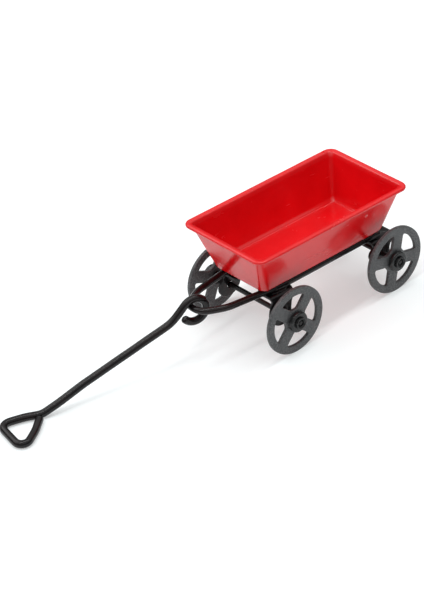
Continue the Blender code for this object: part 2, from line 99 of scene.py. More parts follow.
# Brackets
BRACKET_THICKNESS = 0.9 * MM
BRACKET_EDGE = 0.2 * MM
FLANGE_WIDTH = 8.6 * MM
FLANGE_REACH = 4.8 * MM  # inwards from under the middle of the rail
FLANGE_CORNER = 1.5 * MM
BEND_REACH = 1.7 * MM  # outwards from under the middle of the rail
EAR_WIDTH = 7.8 * MM
EAR_SPLAY = math.radians(7.0)
BEND_RADIUS = 0.9 * MM
FRONT_AXLE_DROP = 7.9 * MM
REAR_AXLE_DROP = 6.1 * MM
FRONT_FLANGE_SETBACK = 1.5 * MM
REAR_FLANGE_SETBACK = 2.0 * MM

# Chassis wire
RAIL_RADIUS = 1.0 * MM
RAIL_HALF_GAUGE = 8.5 * MM
RAIL_TAIL = 1.6 * MM
YOKE_START = 3.0 * MM
YOKE_SHOULDER = 15.0 * MM
YOKE_SHOULDER_HALF_WIDTH = 6.0 * MM
YOKE_REACH = 21.6 * MM
YOKE_TIP_HALF_WIDTH = 2.6 * MM
YOKE_TIP_BEND = 4.0 * MM
YOKE_SHOULDER_BEND = 9.0 * MM
RAIL_BEND = 20.0 * MM

# Tray
TRAY_LENGTH = 56.3 * MM
TRAY_WIDTH = 31.3 * MM
TRAY_HEIGHT = 14.7 * MM
TRAY_FLOOR_LENGTH = 45.0 * MM
TRAY_FLOOR_WIDTH = 19.8 * MM
TRAY_WALL = 0.6 * MM
TRAY_FLOOR = 1.3 * MM  # thickness of the floor
RIM_SETBACK = 16.8 * MM
FLOOR_SETBACK = 0.5 * MM
RIM_OVERHANG = 1.3 * MM
RIM_HEIGHT = 1.15 * MM
RIM_CORNER_RADIUS = 2.8 * MM
WALL_CORNER_RADIUS = 2.1 * MM
INSIDE_CORNER_RADIUS = 1.0 * MM
FLOOR_EDGE_RADIUS = 1.0 * MM
INNER_EDGE_RADIUS = 0.35 * MM

# Handle
HANDLE_RADIUS = 1.15 * MM
ROD_LENGTH = 49.4 * MM
HANDLE_SWING = math.radians(-15.3)
EYE_RADIUS = 3.6 * MM
EYE_HANG_ANGLE = math.radians(-116.0)
EYE_END_ANGLE = math.radians(-27.0)
ROD_CRANK = 6.8 * MM
ROD_CRANK_DROP = 0.4 * MM
ROD_CRANK_BEND = 9.0 * MM
ROD_WAVES = ((0.42, 0.2 * MM), (0.68, 0.3 * MM), (0.87, -0.1 * MM))
ROD_WAVE_BEND = 40.0 * MM
GRIP_LENGTH = 11.6 * MM
GRIP_RIGHT = 2.15 * MM  # the corners are moved in a little, because the limbs bulge
GRIP_LEFT = 11.8 * MM
GRIP_LEFT_SETBACK = 1.05 * MM
GRIP_ROOT_BEND = 5.0 * MM
GRIP_RIGHT_BEND = 3.2 * MM
GRIP_LEFT_BEND = 2.8 * MM
GRIP_BOW = 0.5 * MM  # how far the loop's limbs bulge
GRIP_BOW_BEND = 12.0 * MM

SEAT_GAP = 0.25 * MM

# The rails' own frame: its origin is above the front axle, at the underside of the tray.
LEAN = math.asin((FRONT_AXLE_DROP - REAR_AXLE_DROP) / (FRONT_AXLE.x - REAR_AXLE.x))
RAIL_CENTRE = -(SEAT_GAP + RAIL_RADIUS)
FLANGE_TOP = RAIL_CENTRE - RAIL_RADIUS - SEAT_GAP
FLANGE_INNER_END = RAIL_HALF_GAUGE - FLANGE_REACH
REAR_AXLE_ALONG = (REAR_AXLE.x - FRONT_AXLE.x) * math.cos(LEAN)
# Each axle's place along the rails, how far it is below the tray, and how far its flanges are behind it
AXLE_PLACES = (
    ("front", 0.0, FRONT_AXLE_DROP, FRONT_FLANGE_SETBACK),
    ("rear", REAR_AXLE_ALONG, REAR_AXLE_DROP, REAR_FLANGE_SETBACK),
)
LEAN_FRAME = (
    Matrix.Translation(FRONT_AXLE)
    @ Matrix.Rotation(-LEAN, 4, "Y")
    @ Matrix.Translation((0, 0, FRONT_AXLE_DROP))
)


# ---------------------------------------------------------------- shapes


def bend_points(start, corner, end, radius, step):
    """Points of the round bend in place of a corner."""
    to_start = (start - corner).normalized()
    to_end = (end - corner).normalized()
    half_angle = to_start.angle(to_end) / 2
    cut = min(radius / math.tan(half_angle), 0.49 * (start - corner).length, 0.49 * (end - corner).length)
    radius = cut * math.tan(half_angle)
    centre = corner + (to_start + to_end).normalized() * radius / math.sin(half_angle)
    first = corner + to_start * cut - centre
    last = corner + to_end * cut - centre
    turn = first.angle(last)
    pieces = max(3, math.ceil(turn / step))
    normal = first.cross(last).normalized()
    return [centre + Matrix.Rotation(turn * k / pieces, 3, normal) @ first for k in range(pieces + 1)]


def bent_path(corners):
    """Points along straight runs with round bends; corners is a list of (point, bend radius)."""
    points = [corners[0][0]]
    for k in range(1, len(corners) - 1):
        corner, radius = corners[k]
        points += bend_points(points[-1], corner, corners[k + 1][0], radius, math.radians(7))
    points.append(corners[-1][0])
    return points


def even_path(points, spacing):
    """The same path with points at even spacing."""
    lengths = [0.0]
    for a, b in zip(points, points[1:]):
        lengths.append(lengths[-1] + (b - a).length)
    count = max(2, round(lengths[-1] / spacing))
    result = []
    k = 0
    for n in range(count + 1):
        want = lengths[-1] * n / count
        while k < len(points) - 2 and lengths[k + 1] < want:
            k += 1
        share = (want - lengths[k]) / (lengths[k + 1] - lengths[k])
        result.append(points[k].lerp(points[k + 1], min(max(share, 0.0), 1.0)))
    return result


def soften_path(points, rounds):
    """Ease the start and end of each bend, as wire does when it's bent by hand."""
    for _ in range(rounds):
        eased = [points[0]]
        for a, b, c in zip(points, points[1:], points[2:]):
            eased.append((a + b * 2 + c) / 4)
        points = eased + [points[-1]]
    return points


def finish_mesh(name, bm, place=None):
    if place is not None:
        bmesh.ops.transform(bm, matrix=place, verts=bm.verts[:])
    bmesh.ops.recalc_face_normals(bm, faces=bm.faces[:])
    mesh = bpy.data.meshes.new(name)
    bm.to_mesh(mesh)
    bm.free()
    mesh.shade_smooth()
    thing = bpy.data.objects.new(name, mesh)
    bpy.context.scene.collection.objects.link(thing)
    return thing


def join_rings(bm, rings, closed=False):
    pairs = list(zip(rings, rings[1:]))
    if closed:
        pairs.append((rings[-1], rings[0]))
    for lower, upper in pairs:
        count = len(lower)
        for k in range(count):
            bm.faces.new((lower[k], lower[(k + 1) % count], upper[(k + 1) % count], upper[k]))


def wire_piece(name, points, radius, lumps, seed, place=None, sides=24):
    """A round wire with softly broken ends and a skin of paint that is a little uneven."""
    bm = bmesh.new()
    count = len(points)
    tangents = []
    for k in range(count):
        ahead = points[min(k + 1, count - 1)]
        behind = points[max(k - 1, 0)]
        tangents.append((ahead - behind).normalized())
    side = tangents[0].orthogonal().normalized()
    rings = []

    def ring(centre, tangent, size):
        up = tangent.cross(side).normalized()
        verts = []
        for n in range(sides):
            angle = 2 * math.pi * n / sides
            out = side * math.cos(angle) + up * math.sin(angle)
            sample = (centre + out * radius) / (4 * MM) + Vector((seed, 0, 0))
            grown = size * (1 - lumps * (0.5 + 0.5 * noise.noise(sample)))
            verts.append(bm.verts.new(centre + out * grown))
        return verts

    rounding = ((0.55, 0.0), (0.8, 0.06), (0.94, 0.18), (1.0, 0.38))
    for share, back in rounding:
        rings.append(ring(points[0] + tangents[0] * back * radius, tangents[0], radius * share))
    for k in range(1, count - 1):
        side = (side - tangents[k] * side.dot(tangents[k])).normalized()
        rings.append(ring(points[k], tangents[k], radius))
    side = (side - tangents[-1] * side.dot(tangents[-1])).normalized()
    for share, back in rounding[::-1]:
        rings.append(ring(points[-1] - tangents[-1] * back * radius, tangents[-1], radius * share))
    join_rings(bm, rings)
    bm.faces.new(rings[0])
    bm.faces.new(rings[-1])
    return finish_mesh(name, bm, place)


def circle_points(radius, steps, along=0.0):
    """Points round a circle in a plane; its middle is at (0, along)."""
    turns = [2 * math.pi * k / steps for k in range(steps)]
    return [(radius * math.cos(angle), along + radius * math.sin(angle)) for angle in turns]


def turned_piece(name, profile, place, steps=64):
    """Turn a closed profile of (radius, y) about the Y axis; a radius of 0 closes the end."""
    bm = bmesh.new()
    rings = [
        [bm.verts.new((x, y, z)) for x, z in circle_points(radius, steps)] for radius, y in profile
    ]
    join_rings(bm, rings, closed=True)
    return finish_mesh(name, bm, place)


def rounded_profile(corners):
    """A closed (radius, y) profile whose corners are rounded; corners is a list of (radius, y, rounding)."""
    points = []
    count = len(corners)
    for k, (radius, y, rounding) in enumerate(corners):
        here = Vector((radius, y, 0))
        before = Vector((*corners[k - 1][:2], 0))
        after = Vector((*corners[(k + 1) % count][:2], 0))
        if rounding == 0:
            points.append((radius, y))
            continue
        for point in bend_points(before, here, after, rounding, math.radians(22)):
            points.append((point.x, point.y))
    return points


def inset_outline(outline, amount):
    """Move each point of a closed outline to its left by an amount."""
    moved = []
    count = len(outline)
    for k in range(count):
        before, here, after = Vector(outline[k - 1]), Vector(outline[k]), Vector(outline[(k + 1) % count])
        first = (here - before).normalized()
        second = (after - here).normalized()
        first_left = Vector((-first.y, first.x))
        second_left = Vector((-second.y, second.x))
        across = (first_left + second_left).normalized()
        moved.append(here + across * amount / max(0.5, across.dot(first_left)))
    return moved


def area_of(outline):
    total = 0.0
    for (ax, ay), (bx, by) in zip(outline, outline[1:] + outline[:1]):
        total += ax * by - bx * ay
    return total / 2


def stamped_piece(name, outlines, folds, thickness, edge, place_point, place=None):
    """A stamped plate with rounded edges: the first outline is its edge and the rest are holes.

    folds are pairs of points of the first outline that a line across the plate joins. place_point puts
    (across, along, height) where it belongs, which bends the plate.
    """
    bm = bmesh.new()
    loops = []
    for k, outline in enumerate(outlines):
        wanted = 1 if k == 0 else -1
        loops.append(list(outline) if area_of(outline) * wanted > 0 else list(outline)[::-1])
    steps = 4
    bands = []
    for n in range(steps + 1):
        angle = math.pi / 2 * n / steps
        bands.append((edge * (1 - math.cos(angle)), thickness / 2 - edge + edge * math.sin(angle)))
    levels = [(inset, -height) for inset, height in bands[::-1]] + bands
    rims = []
    for inset, height in levels:
        rims.append(
            [
                [bm.verts.new(place_point(x, y, height)) for x, y in inset_outline(loop, inset)]
                for loop in loops
            ]
        )
    for lower, upper in zip(rims, rims[1:]):
        for lower_ring, upper_ring in zip(lower, upper):
            join_rings(bm, [lower_ring, upper_ring])
    flat = []
    flat_edges = []
    for loop in loops:
        start = len(flat)
        flat += [Vector(point[:2]) for point in inset_outline(loop, edge)]
        flat_edges += [(start + k, start + (k + 1) % len(loop)) for k in range(len(loop))]
    flat_edges += folds
    points, _, faces, origins, _, _ = delaunay_2d_cdt(flat, flat_edges, [], 0, 1e-9)
    centres = []
    for face in faces:
        centre = sum((Vector(points[v]) for v in face), Vector((0, 0))) / len(face)
        inside = inside_outline(centre, flat[: len(loops[0])])
        start = len(loops[0])
        for loop in loops[1:]:
            inside = inside and not inside_outline(centre, flat[start : start + len(loop)])
            start += len(loop)
        centres.append(inside)
    for rim, flip in ((rims[0], True), (rims[-1], False)):
        verts = [vert for ring in rim for vert in ring]
        for face, inside in zip(faces, centres):
            if not inside:
                continue
            corners = [verts[origins[v][0]] for v in face]
            bm.faces.new(corners[::-1] if flip else corners)
    return finish_mesh(name, bm, place)


def inside_outline(point, outline):
    inside = False
    for a, b in zip(outline, outline[1:] + outline[:1]):
        if (a.y > point.y) != (b.y > point.y):
            if point.x < (b.x - a.x) * (point.y - a.y) / (b.y - a.y) + a.x:
                inside = not inside
    return inside


# ---------------------------------------------------------------- finishes


def add_node(tree, kind, **settings):
    node = tree.nodes.new(kind)
    for key, value in settings.items():
        if key in node.bl_rna.properties:
            setattr(node, key, value)
        else:
            node.inputs[key.replace("_", " ")].default_value = value
    return node


def mix_colours(tree, share, first, second, blend="MIX"):
    mix = add_node(tree, "ShaderNodeMix", data_type="RGBA", blend_type=blend)
    for socket, value in zip((mix.inputs[0], mix.inputs[6], mix.inputs[7]), (share, first, second)):
        connect(tree, value, socket)
    return mix.outputs[2]


def sums(tree, operation, first, second, third=None):
    node = add_node(tree, "ShaderNodeMath", operation=operation)
    for socket, value in zip(node.inputs, (first, second, third)):
        if value is not None:
            connect(tree, value, socket)
    return node.outputs[0]


def spread(tree, value, low, high, to_low=0.0, to_high=1.0):
    node = add_node(tree, "ShaderNodeMapRange")
    connect(tree, value, node.inputs[0])
    for k, number in enumerate((low, high, to_low, to_high)):
        connect(tree, number, node.inputs[k + 1])
    return node.outputs[0]


def connect(tree, value, socket):
    if isinstance(value, bpy.types.NodeSocket):
        tree.links.new(value, socket)
    elif isinstance(value, tuple) and len(value) == 3:
        socket.default_value = (*value, 1.0)
    else:
        socket.default_value = value


def effect_group(name, inputs, outputs):
    group = bpy.data.node_groups.new(name, "ShaderNodeTree")
    for label, kind, value in inputs:
        socket = group.interface.new_socket(name=label, in_out="INPUT", socket_type=kind)
        if value is not None:
            socket.default_value = value
    for label, kind in outputs:
        group.interface.new_socket(name=label, in_out="OUTPUT", socket_type=kind)
    return group, group.nodes.new("NodeGroupInput"), group.nodes.new("NodeGroupOutput")


def place_effect(tree, group, coordinates, **values):
    node = tree.nodes.new("ShaderNodeGroup")
    node.node_tree = group
    tree.links.new(coordinates, node.inputs["Place"])
    for key, value in values.items():
        connect(tree, value, node.inputs[key.replace("_", " ")])
    return node.outputs


def paint_skin_group():
    """Orange peel and slow waves of dipped enamel, as a height from 0 to 1."""
    group, given, result = effect_group(
        "paint_skin",
        [
            ("Place", "NodeSocketVector", None),
            ("Peel per metre", "NodeSocketFloat", 900.0),
            ("Waves per metre", "NodeSocketFloat", 120.0),
            ("Peel share", "NodeSocketFloat", 0.3),
        ],
        [("Height", "NodeSocketFloat")],
    )
    peel = add_node(group, "ShaderNodeTexNoise", Detail=2.0, Roughness=0.5)
    waves = add_node(group, "ShaderNodeTexNoise", Detail=3.0, Roughness=0.45)
    for texture, label in ((peel, "Peel per metre"), (waves, "Waves per metre")):
        group.links.new(given.outputs["Place"], texture.inputs["Vector"])
        group.links.new(given.outputs[label], texture.inputs["Scale"])
    mix = add_node(group, "ShaderNodeMix", data_type="FLOAT")
    group.links.new(given.outputs["Peel share"], mix.inputs[0])
    group.links.new(waves.outputs[0], mix.inputs[2])
    group.links.new(peel.outputs[0], mix.inputs[3])
    group.links.new(mix.outputs[0], result.inputs["Height"])
    return group


def specks_group():
    """Sparse round specks, as a mask from 0 to 1 that is highest in the middle of a speck."""
    group, given, result = effect_group(
        "specks",
        [
            ("Place", "NodeSocketVector", None),
            ("Cells per metre", "NodeSocketFloat", 300.0),
            ("Size", "NodeSocketFloat", 0.16),
            ("Share", "NodeSocketFloat", 0.2),
        ],
        [("Mask", "NodeSocketFloat")],
    )
    cells = add_node(group, "ShaderNodeTexVoronoi", feature="F1", Randomness=1.0)
    group.links.new(given.outputs["Place"], cells.inputs["Vector"])
    group.links.new(given.outputs["Cells per metre"], cells.inputs["Scale"])
    reach = add_node(group, "ShaderNodeMapRange", interpolation_type="SMOOTHSTEP")
    group.links.new(cells.outputs["Distance"], reach.inputs[0])
    group.links.new(given.outputs["Size"], reach.inputs[2])
    reach.inputs[1].default_value = 0.0
    reach.inputs[3].default_value = 1.0
    reach.inputs[4].default_value = 0.0
    split = add_node(group, "ShaderNodeSeparateColor")
    group.links.new(cells.outputs["Color"], split.inputs[0])
    chosen = sums(group, "LESS_THAN", split.outputs[0], 0.2)
    group.links.new(given.outputs["Share"], chosen.node.inputs[1])
    group.links.new(sums(group, "MULTIPLY", reach.outputs[0], chosen), result.inputs["Mask"])
    return group


def mottle_group():
    """Slow patches, as a value from 0 to 1 about a middle of 0.5."""
    group, given, result = effect_group(
        "mottle",
        [
            ("Place", "NodeSocketVector", None),
            ("Patches per metre", "NodeSocketFloat", 150.0),
            ("Contrast", "NodeSocketFloat", 1.0),
        ],
        [("Value", "NodeSocketFloat")],
    )
    patches = add_node(group, "ShaderNodeTexNoise", Detail=4.0, Roughness=0.55)
    group.links.new(given.outputs["Place"], patches.inputs["Vector"])
    group.links.new(given.outputs["Patches per metre"], patches.inputs["Scale"])
    centred = sums(group, "SUBTRACT", patches.outputs[0], 0.5)
    scaled = sums(group, "MULTIPLY", centred, 3.0)
    strong = sums(group, "MULTIPLY", scaled, 1.0)
    group.links.new(given.outputs["Contrast"], strong.node.inputs[1])
    lifted = add_node(group, "ShaderNodeMath", operation="ADD", use_clamp=True)
    group.links.new(strong, lifted.inputs[0])
    lifted.inputs[1].default_value = 0.5
    group.links.new(lifted.outputs[0], result.inputs["Value"])
    return group


def rubbed_group():
    """Thin streaky rub marks, as a mask from 0 to 1."""
    group, given, result = effect_group(
        "rubbed",
        [
            ("Place", "NodeSocketVector", None),
            ("Marks per metre", "NodeSocketFloat", 260.0),
            ("Level", "NodeSocketFloat", 0.62),
        ],
        [("Mask", "NodeSocketFloat")],
    )
    stretch = add_node(group, "ShaderNodeMapping")
    stretch.inputs["Scale"].default_value = (0.5, 0.5, 2.2)
    group.links.new(given.outputs["Place"], stretch.inputs["Vector"])
    marks = add_node(group, "ShaderNodeTexNoise", Detail=6.0, Roughness=0.65, Distortion=0.6)
    group.links.new(stretch.outputs[0], marks.inputs["Vector"])
    group.links.new(given.outputs["Marks per metre"], marks.inputs["Scale"])
    level = add_node(group, "ShaderNodeMapRange", interpolation_type="SMOOTHSTEP")
    group.links.new(marks.outputs[0], level.inputs[0])
    group.links.new(given.outputs["Level"], level.inputs[1])
    upper = sums(group, "ADD", given.outputs["Level"], 0.08)
    group.links.new(upper, level.inputs[2])
    group.links.new(level.outputs[0], result.inputs["Mask"])
    return group


PAINT_SKIN = paint_skin_group()
SPECKS = specks_group()
MOTTLE = mottle_group()
RUBBED = rubbed_group()


def new_material(name, **shader_values):
    material = bpy.data.materials.new(name)
    material.use_nodes = True
    tree = material.node_tree
    shader = tree.nodes["Principled BSDF"]
    for key, value in shader_values.items():
        shader.inputs[key.replace("_", " ")].default_value = value
    coordinates = tree.nodes.new("ShaderNodeTexCoord").outputs["Object"]
    return material, tree, shader, coordinates


def add_bump(tree, shader, height, distance, strength=1.0):
    bump = add_node(tree, "ShaderNodeBump", Distance=distance, Strength=strength)
    tree.links.new(height, bump.inputs["Height"])
    tree.links.new(bump.outputs[0], shader.inputs["Normal"])


def red_enamel():
    material, tree, shader, place = new_material(
        "red_enamel", Specular_IOR_Level=0.5, Coat_Weight=0.0
    )
    patches = place_effect(tree, MOTTLE, place, Patches_per_metre=110.0, Contrast=0.8)["Value"]
    rubs = place_effect(tree, RUBBED, place, Marks_per_metre=170.0, Level=0.6)["Mask"]
    nibs = place_effect(tree, SPECKS, place, Cells_per_metre=190.0, Size=0.13, Share=0.10)["Mask"]
    dust = place_effect(tree, SPECKS, place, Cells_per_metre=900.0, Size=0.2, Share=0.06)["Mask"]
    skin = place_effect(
        tree, PAINT_SKIN, place, Peel_per_metre=1100.0, Waves_per_metre=140.0, Peel_share=0.22
    )["Height"]
    colour = mix_colours(tree, patches, (0.62, 0.0022, 0.0045), (0.72, 0.003, 0.006))
    colour = mix_colours(tree, sums(tree, "MULTIPLY", dust, 0.5), colour, (0.80, 0.06, 0.06))
    tree.links.new(colour, shader.inputs["Base Color"])
    rough = spread(tree, patches, 0.0, 1.0, 0.13, 0.22)
    rough = sums(tree, "ADD", rough, sums(tree, "MULTIPLY", rubs, 0.14))
    tree.links.new(rough, shader.inputs["Roughness"])
    height = sums(tree, "MULTIPLY", skin, 0.5)
    height = sums(tree, "ADD", height, sums(tree, "MULTIPLY", nibs, 0.8))
    add_bump(tree, shader, height, 0.16 * MM)
    return material


def black_enamel(name, warmth, roughness, peel):
    """Dipped black enamel on wire and strip, a little brown where it is thin."""
    material, tree, shader, place = new_material(
        name, Coat_Weight=0.0, Specular_IOR_Level=0.28
    )
    patches = place_effect(tree, MOTTLE, place, Patches_per_metre=260.0, Contrast=1.0)["Value"]
    rubs = place_effect(tree, RUBBED, place, Marks_per_metre=330.0, Level=0.63)["Mask"]
    dust = place_effect(tree, SPECKS, place, Cells_per_metre=1300.0, Size=0.22, Share=0.08)["Mask"]
    skin = place_effect(
        tree, PAINT_SKIN, place, Peel_per_metre=1500.0, Waves_per_metre=280.0, Peel_share=0.2
    )["Height"]
    colour = mix_colours(tree, patches, (0.0045, 0.0042, 0.0048), (0.0095 * warmth, 0.0078, 0.0076))
    colour = mix_colours(tree, sums(tree, "MULTIPLY", rubs, 0.5), colour, (0.045, 0.033, 0.028))
    colour = mix_colours(tree, sums(tree, "MULTIPLY", dust, 0.35), colour, (0.10, 0.095, 0.09))
    tree.links.new(colour, shader.inputs["Base Color"])
    rough = spread(tree, patches, 0.0, 1.0, roughness - 0.06, roughness + 0.08)
    rough = sums(tree, "ADD", rough, sums(tree, "MULTIPLY", rubs, 0.18))
    tree.links.new(rough, shader.inputs["Roughness"])
    add_bump(tree, shader, skin, peel)
    return material


def grained_grey():
    """The wheels' dark grey finish, with a fine even grain."""
    material, tree, shader, place = new_material("wheel_grain_grey", Specular_IOR_Level=0.5)
    grain = add_node(tree, "ShaderNodeTexNoise", Scale=2900.0, Detail=3.0, Roughness=0.7)
    tree.links.new(place, grain.inputs["Vector"])
    patches = place_effect(tree, MOTTLE, place, Patches_per_metre=240.0, Contrast=0.9)["Value"]
    rubs = place_effect(tree, RUBBED, place, Marks_per_metre=420.0, Level=0.64)["Mask"]
    pits = place_effect(tree, SPECKS, place, Cells_per_metre=2600.0, Size=0.35, Share=0.3)["Mask"]
    colour = mix_colours(tree, patches, (0.036, 0.037, 0.038), (0.054, 0.054, 0.056))
    bright = spread(tree, grain.outputs[0], 0.46, 0.62, 0.0, 0.7)
    colour = mix_colours(tree, bright, colour, (0.15, 0.15, 0.155))
    colour = mix_colours(tree, sums(tree, "MULTIPLY", pits, 0.5), colour, (0.012, 0.012, 0.013))
    colour = mix_colours(tree, sums(tree, "MULTIPLY", rubs, 0.4), colour, (0.14, 0.14, 0.14))
    tree.links.new(colour, shader.inputs["Base Color"])
    tree.links.new(spread(tree, grain.outputs[0], 0.3, 0.7, 0.62, 0.42), shader.inputs["Roughness"])
    height = sums(tree, "SUBTRACT", grain.outputs[0], sums(tree, "MULTIPLY", pits, 0.5))
    add_bump(tree, shader, height, 0.035 * MM)
    return material


def hub_black():
    """Pressed hub pieces: satin black with a turned sheen and edges rubbed a little lighter."""
    material, tree, shader, place = new_material(
        "hub_black", Coat_Weight=0.0, Specular_IOR_Level=0.36
    )
    patches = place_effect(tree, MOTTLE, place, Patches_per_metre=500.0, Contrast=1.0)["Value"]
    rubs = place_effect(tree, RUBBED, place, Marks_per_metre=700.0, Level=0.58)["Mask"]
    skin = place_effect(
        tree, PAINT_SKIN, place, Peel_per_metre=2400.0, Waves_per_metre=600.0, Peel_share=0.4
    )["Height"]
    colour = mix_colours(tree, patches, (0.006, 0.006, 0.0065), (0.014, 0.014, 0.0145))
    colour = mix_colours(tree, sums(tree, "MULTIPLY", rubs, 0.5), colour, (0.075, 0.073, 0.07))
    tree.links.new(colour, shader.inputs["Base Color"])
    rough = spread(tree, patches, 0.0, 1.0, 0.18, 0.32)
    tree.links.new(rough, shader.inputs["Roughness"])
    add_bump(tree, shader, skin, 0.07 * MM)
    return material


RED = red_enamel()
WIRE_BLACK = black_enamel("wire_black_enamel", 1.35, 0.16, 0.10 * MM)
HANDLE_BLACK = black_enamel("handle_black_enamel", 1.2, 0.2, 0.09 * MM)
STRIP_BLACK = black_enamel("strip_black_enamel", 1.2, 0.18, 0.12 * MM)
AXLE_BLACK = black_enamel("axle_black_enamel", 1.2, 0.28, 0.07 * MM)
WHEEL_GREY = grained_grey()
HUB_BLACK = hub_black()


def fit_piece(piece, body, nodes, material):
    piece.data.materials.append(material)
    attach(piece, body)
    if nodes:
        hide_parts(*nodes)


# ---------------------------------------------------------------- the tray


# How finely the tray is divided
LONG_STEPS = 56
SHORT_STEPS = 30
ROUND_STEPS = 10
FLAT_RINGS = 4
EDGE_STEPS = 7
WALL_ROWS = 10
BEAD_STEPS = 9

# Unevenness of its paint and sheet
SHEET_WANDER = 0.05 * MM
RAGGED_DROP = 0.22 * MM
RAGGED_BULGE = 0.09 * MM

# The rim's top falls to its inner edge: how far out from the wall, how far below the top
RIM_TOP = ((0.5, 0.04), (0.25, 0.07), (0.0, 0.1), (-0.2, 0.14), (-0.36, 0.2))


def tray_ring(length, width, corner_radius, height):
    """Points round the tray at one height, evenly spread along the sides and closer in the corners."""
    corner_radius = max(corner_radius, 0.2 * MM)
    inset_x = length / 2 - corner_radius
    inset_y = width / 2 - corner_radius
    points = []
    for quarter, (side_x, side_y) in enumerate(((1, 1), (-1, 1), (-1, -1), (1, -1))):
        for k in range(ROUND_STEPS + 1):
            angle = math.pi / 2 * (quarter + k / ROUND_STEPS)
            points.append(
                Vector(
                    (
                        side_x * inset_x + corner_radius * math.cos(angle),
                        side_y * inset_y + corner_radius * math.sin(angle),
                        height,
                    )
                )
            )
        along_x = quarter in (0, 2)
        steps = LONG_STEPS if along_x else SHORT_STEPS
        start = points[-1]
        end = Vector((-start.x, start.y, height)) if along_x else Vector((start.x, -start.y, height))
        points += [start.lerp(end, k / steps) for k in range(1, steps)]
    return points


def make_tray():
    """A pressed tray with a rolled rim; paint has gathered and broken along the rim's lower edge."""
    top_length = TRAY_LENGTH - 2 * RIM_OVERHANG
    top_width = TRAY_WIDTH - 2 * RIM_OVERHANG
    wall_height = TRAY_HEIGHT - RIM_HEIGHT / 2
    slope_length = (top_length - TRAY_FLOOR_LENGTH) / 2 / wall_height
    slope_width = (top_width - TRAY_FLOOR_WIDTH) / 2 / wall_height

    def wall_ring(height, inset, corner):
        length = TRAY_FLOOR_LENGTH + 2 * (slope_length * height - inset)
        width = TRAY_FLOOR_WIDTH + 2 * (slope_width * height - inset)
        back = Vector((FLOOR_SETBACK * (height / wall_height - 1), 0, 0))
        return [point + back for point in tray_ring(length, width, corner, height)]

    def rim_ring(out, height):
        corner = RIM_CORNER_RADIUS - RIM_OVERHANG + out
        return tray_ring(top_length + 2 * out, top_width + 2 * out, corner, height)

    sections = []
    for k in range(FLAT_RINGS + 1):
        inset = FLOOR_EDGE_RADIUS + 7.6 * MM * (FLAT_RINGS - k) / FLAT_RINGS
        sections.append(wall_ring(0.0, inset, 0.4 * MM + 0.3 * MM * k))
    for k in range(1, EDGE_STEPS + 1):
        angle = math.pi / 2 * k / EDGE_STEPS
        rise = FLOOR_EDGE_RADIUS * (1 - math.cos(angle))
        sections.append(wall_ring(rise, FLOOR_EDGE_RADIUS * (1 - math.sin(angle)), WALL_CORNER_RADIUS))
    last_height = TRAY_HEIGHT - RIM_HEIGHT - 0.3 * MM
    for k in range(1, WALL_ROWS + 1):
        height = FLOOR_EDGE_RADIUS + (last_height - FLOOR_EDGE_RADIUS) * k / WALL_ROWS
        sections.append(wall_ring(height, 0.0, WALL_CORNER_RADIUS))
    bead_start = len(sections)
    bead = RIM_HEIGHT / 2 - 0.02 * MM
    bead_middle = TRAY_HEIGHT - bead - 0.03 * MM
    bead_out = RIM_OVERHANG - bead
    sections.append(rim_ring(-0.2 * MM, TRAY_HEIGHT - RIM_HEIGHT - 0.1 * MM))
    sections.append(rim_ring(0.12 * MM, TRAY_HEIGHT - RIM_HEIGHT + 0.04 * MM))
    for k in range(BEAD_STEPS + 1):
        angle = math.radians(-105 + 195 * k / BEAD_STEPS)
        sections.append(rim_ring(bead_out + bead * math.cos(angle), bead_middle + bead * math.sin(angle)))
    bead_end = len(sections)
    for out, drop in RIM_TOP:
        sections.append(rim_ring(out * MM, TRAY_HEIGHT - drop * MM))
    high = TRAY_HEIGHT - 0.34 * MM
    low = TRAY_FLOOR + INNER_EDGE_RADIUS
    for k in range(WALL_ROWS + 1):
        height = high + (low - high) * k / WALL_ROWS
        corner = INSIDE_CORNER_RADIUS + 0.3 * MM * (1 - k / WALL_ROWS)
        sections.append(wall_ring(height, TRAY_WALL, corner))
    for k in range(EDGE_STEPS, -1, -1):
        angle = math.pi / 2 * k / EDGE_STEPS
        rise = TRAY_FLOOR + INNER_EDGE_RADIUS * (1 - math.cos(angle))
        inset = TRAY_WALL + INNER_EDGE_RADIUS * (1 - math.sin(angle))
        sections.append(wall_ring(rise, inset, INSIDE_CORNER_RADIUS))
    for k in range(1, FLAT_RINGS + 1):
        inset = TRAY_WALL + INNER_EDGE_RADIUS + 7.4 * MM * k / FLAT_RINGS
        sections.append(wall_ring(TRAY_FLOOR, inset, INSIDE_CORNER_RADIUS - 0.18 * MM * k))

    for n, section in enumerate(sections):
        for k, point in enumerate(section):
            sample = Vector((point.x, point.y, point.z)) / (7 * MM)
            push = SHEET_WANDER * noise.noise(sample + Vector((3.1, 0.0, 0.0)))
            outward = Vector((point.x / top_length, point.y / top_width, 0)).normalized()
            point += outward * push
            if bead_start <= n < bead_end - 6:
                ragged = noise.noise(Vector((point.x, point.y, 0)) / (1.6 * MM))
                slow = noise.noise(Vector((point.x, point.y, 9)) / (6 * MM))
                point.z += RAGGED_DROP * ragged * max(0.0, 0.4 + slow)
                point += outward * RAGGED_BULGE * ragged

    bm = bmesh.new()
    rings = [[bm.verts.new(point) for point in section] for section in sections]
    join_rings(bm, rings)
    bm.faces.new(rings[0])
    bm.faces.new(rings[-1])
    place = LEAN_FRAME @ Matrix.Translation((-RIM_SETBACK, 0, 0))
    piece = finish_mesh("tray_pressing", bm, place)
    fit_piece(piece, "wagon", ["tray"], RED)


# ---------------------------------------------------------------- the chassis


